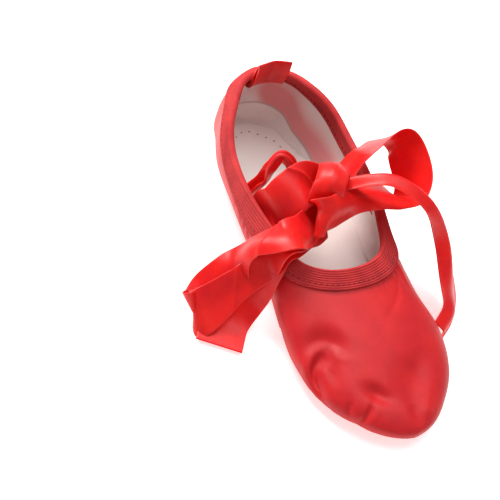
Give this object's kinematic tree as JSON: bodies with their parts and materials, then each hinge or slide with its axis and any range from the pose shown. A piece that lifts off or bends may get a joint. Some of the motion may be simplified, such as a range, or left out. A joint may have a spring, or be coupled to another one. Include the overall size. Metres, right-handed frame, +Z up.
{
  "type": "ballet shoe",
  "caption": "Soft ballet slipper: satin upper with cotton lining, elastic binding, split suede sole, heel pull loop and ankle ribbons tied in a bow.",
  "frame": {"origin": "on the floor under the middle of the shoe's own box, measured without the ribbons", "axes": "+Y from the toe to the heel, +Z up, +X to the wearer's inner side of a right foot"},
  "size_m": [0.1444, 0.2086, 0.0672],
  "materials": {
    "satin": "satin weave, soft sheen",
    "suede": "napped suede",
    "cotton": "matt twill",
    "elastic": "fine ribbed elastic",
    "ribbon": "double-faced satin ribbon"
  },
  "bodies": {
    "root": {"upper": "satin", "sole_fore": "suede", "sole_heel": "suede", "insole": "cotton", "binding": "elastic", "pull_loop": "satin", "knot": "ribbon", "ribbon_side_left": "ribbon", "ribbon_side_right": "ribbon", "ribbon_slack_loop": "ribbon", "loop_right": "ribbon", "tail_right": "ribbon", "loop_left": "ribbon", "tail_left": "ribbon"}
  },
  "joints": []
}
